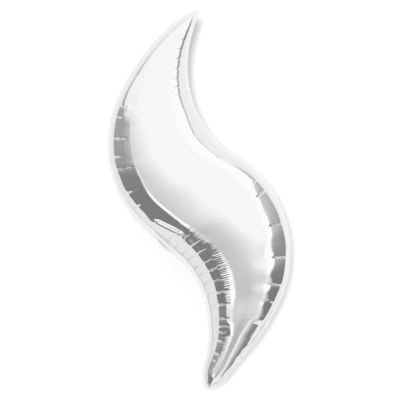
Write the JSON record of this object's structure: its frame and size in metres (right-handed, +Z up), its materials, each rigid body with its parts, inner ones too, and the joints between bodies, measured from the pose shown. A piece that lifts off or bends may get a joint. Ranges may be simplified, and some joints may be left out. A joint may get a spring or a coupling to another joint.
{
  "type": "s-curve foil balloon",
  "caption": "Silver foil balloon in a flowing S shape: bulged film panels welded in a flat rim, with a folding inflation tail and its valve sleeve.",
  "frame": {"origin": "the balloon's middle in the plane of its seam, where the air carries it", "axes": "+X to the right seen from the front, +Y to the back, +Z up; the welded seam lies in the plane Y = 0"},
  "size_m": [0.494, 0.2484, 1.029],
  "materials": {
    "silver_foil": "mirror-bright metallised film, finely creased at the seam",
    "clear_film": "clear pale film"
  },
  "bodies": {
    "envelope": {"front_panel": "silver_foil", "back_panel": "silver_foil"},
    "tail": {"tail_front": "silver_foil", "tail_back": "silver_foil", "valve_front": "clear_film", "valve_back": "clear_film"}
  },
  "joints": [
    {"name": "tail_fold", "type": "hinge", "parent": "envelope", "child": "tail", "pos_m": [-0.10202, 0, -0.12171], "axis": [-0.738, 0, 0.6748], "range_deg": [0, 210]}
  ]
}
